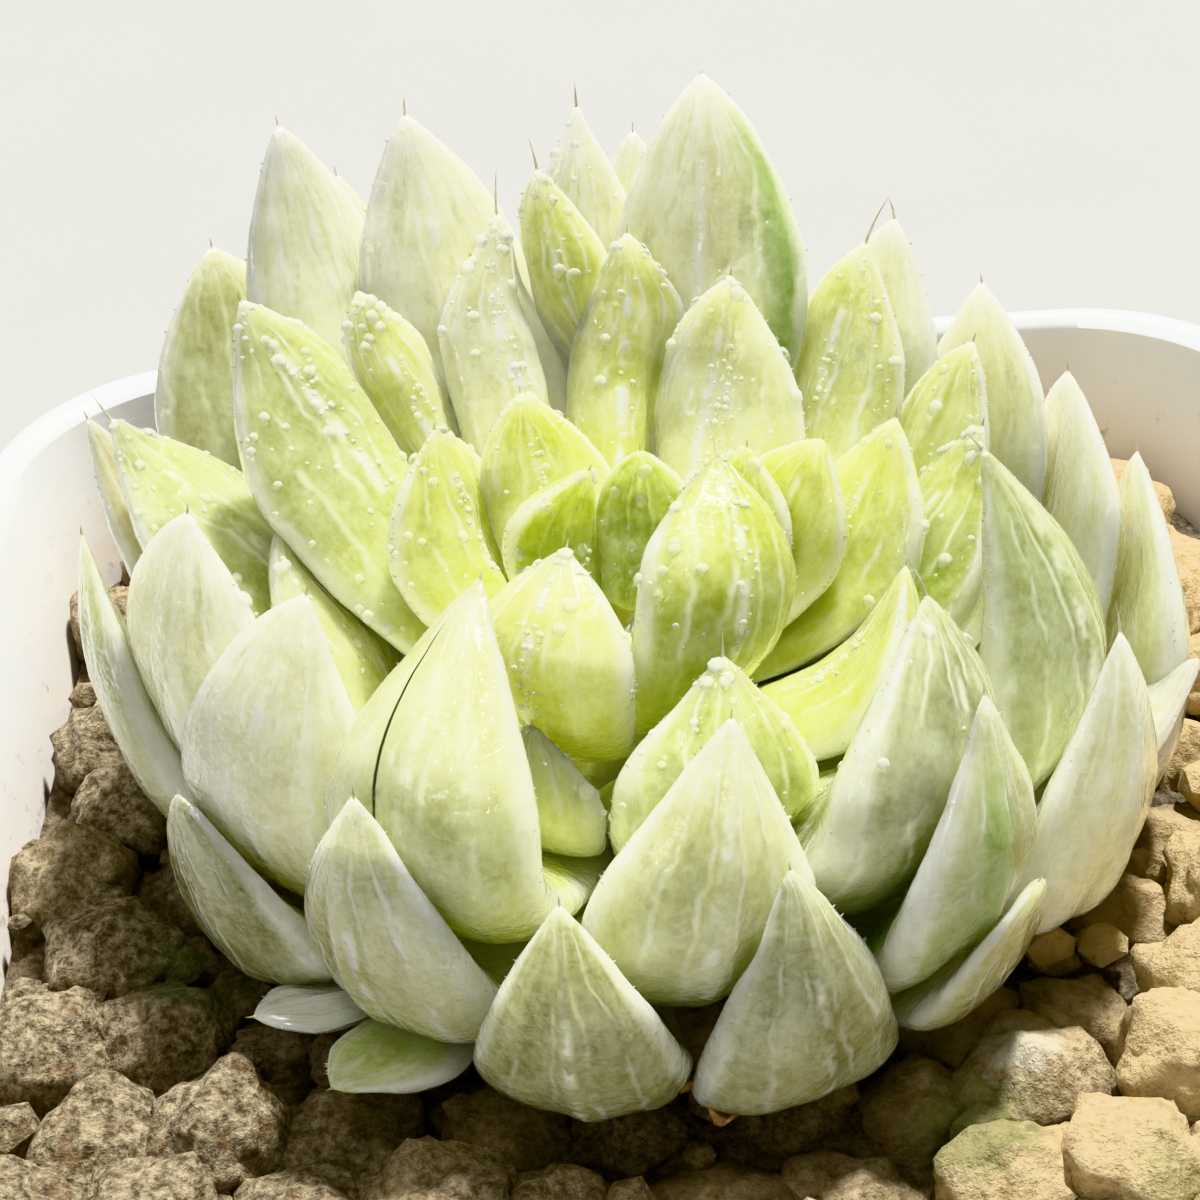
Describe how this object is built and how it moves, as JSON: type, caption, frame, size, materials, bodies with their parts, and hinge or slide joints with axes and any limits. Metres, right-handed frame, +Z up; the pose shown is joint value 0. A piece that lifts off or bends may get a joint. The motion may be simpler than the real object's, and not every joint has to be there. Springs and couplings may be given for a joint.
{
  "type": "potted haworthia",
  "caption": "Rosette of thick pointed translucent leaves on a short stem, growing in granular soil in a square plastic nursery pot with rounded corners and a lip.",
  "frame": {"origin": "middle of the pot's underside, at the lowest point of the pot", "axes": "+Z up along the pot's height, the longest extent; X and Y along the pot's sides; -Y is the side that the plant is usually seen from"},
  "size_m": [0.065, 0.065, 0.0795],
  "materials": {
    "pot": "smooth, slightly glossy white plastic with fine scratches",
    "soil": "matte, porous, gritty granules, tan to grey-brown",
    "stem": "matte, pale, fibrous",
    "low_leaf": "wet, glossy, translucent pale green-white",
    "old_leaf": "wrinkled, soft, dull olive green",
    "outer_leaf": "wet, glossy, translucent pale green-white with lighter veins",
    "middle_leaf": "wet, glossy, translucent yellow-green with pale veins",
    "inner_leaf": "wet, glossy, translucent bright yellow-green with pale veins",
    "heart_leaf": "wet, glossy, translucent deep yellow-green"
  },
  "bodies": {
    "root": {"pot": "pot", "soil": "soil", "stem": "stem", "low_leaf_01": "low_leaf", "low_leaf_02": "low_leaf", "low_leaf_03": "low_leaf", "low_leaf_04": "low_leaf", "low_leaf_05": "low_leaf", "low_leaf_06": "low_leaf", "low_leaf_07": "low_leaf", "low_leaf_08": "low_leaf", "low_leaf_09": "low_leaf", "low_leaf_10": "low_leaf", "low_leaf_11": "low_leaf", "low_leaf_12": "low_leaf", "low_leaf_13": "low_leaf", "low_leaf_14": "low_leaf", "low_leaf_15": "low_leaf", "low_leaf_16": "low_leaf", "old_leaf_01": "old_leaf", "old_leaf_02": "old_leaf", "outer_leaf_01": "outer_leaf", "outer_leaf_02": "outer_leaf", "outer_leaf_03": "outer_leaf", "outer_leaf_04": "outer_leaf", "outer_leaf_05": "outer_leaf", "outer_leaf_06": "outer_leaf", "outer_leaf_07": "outer_leaf", "outer_leaf_08": "outer_leaf", "outer_leaf_09": "outer_leaf", "outer_leaf_10": "outer_leaf", "outer_leaf_11": "outer_leaf", "outer_leaf_12": "outer_leaf", "outer_leaf_13": "outer_leaf", "middle_leaf_01": "middle_leaf", "middle_leaf_02": "middle_leaf", "middle_leaf_03": "middle_leaf", "middle_leaf_04": "middle_leaf", "middle_leaf_05": "middle_leaf", "middle_leaf_06": "middle_leaf", "middle_leaf_07": "middle_leaf", "middle_leaf_08": "middle_leaf", "middle_leaf_09": "middle_leaf", "middle_leaf_10": "middle_leaf", "inner_leaf_01": "inner_leaf", "inner_leaf_02": "inner_leaf", "inner_leaf_03": "inner_leaf", "inner_leaf_04": "inner_leaf", "inner_leaf_05": "inner_leaf", "inner_leaf_06": "inner_leaf", "inner_leaf_07": "inner_leaf", "inner_leaf_08": "inner_leaf", "inner_leaf_09": "inner_leaf", "inner_leaf_10": "inner_leaf", "inner_leaf_11": "inner_leaf", "heart_leaf_01": "heart_leaf", "heart_leaf_02": "heart_leaf", "heart_leaf_03": "heart_leaf"}
  },
  "joints": []
}
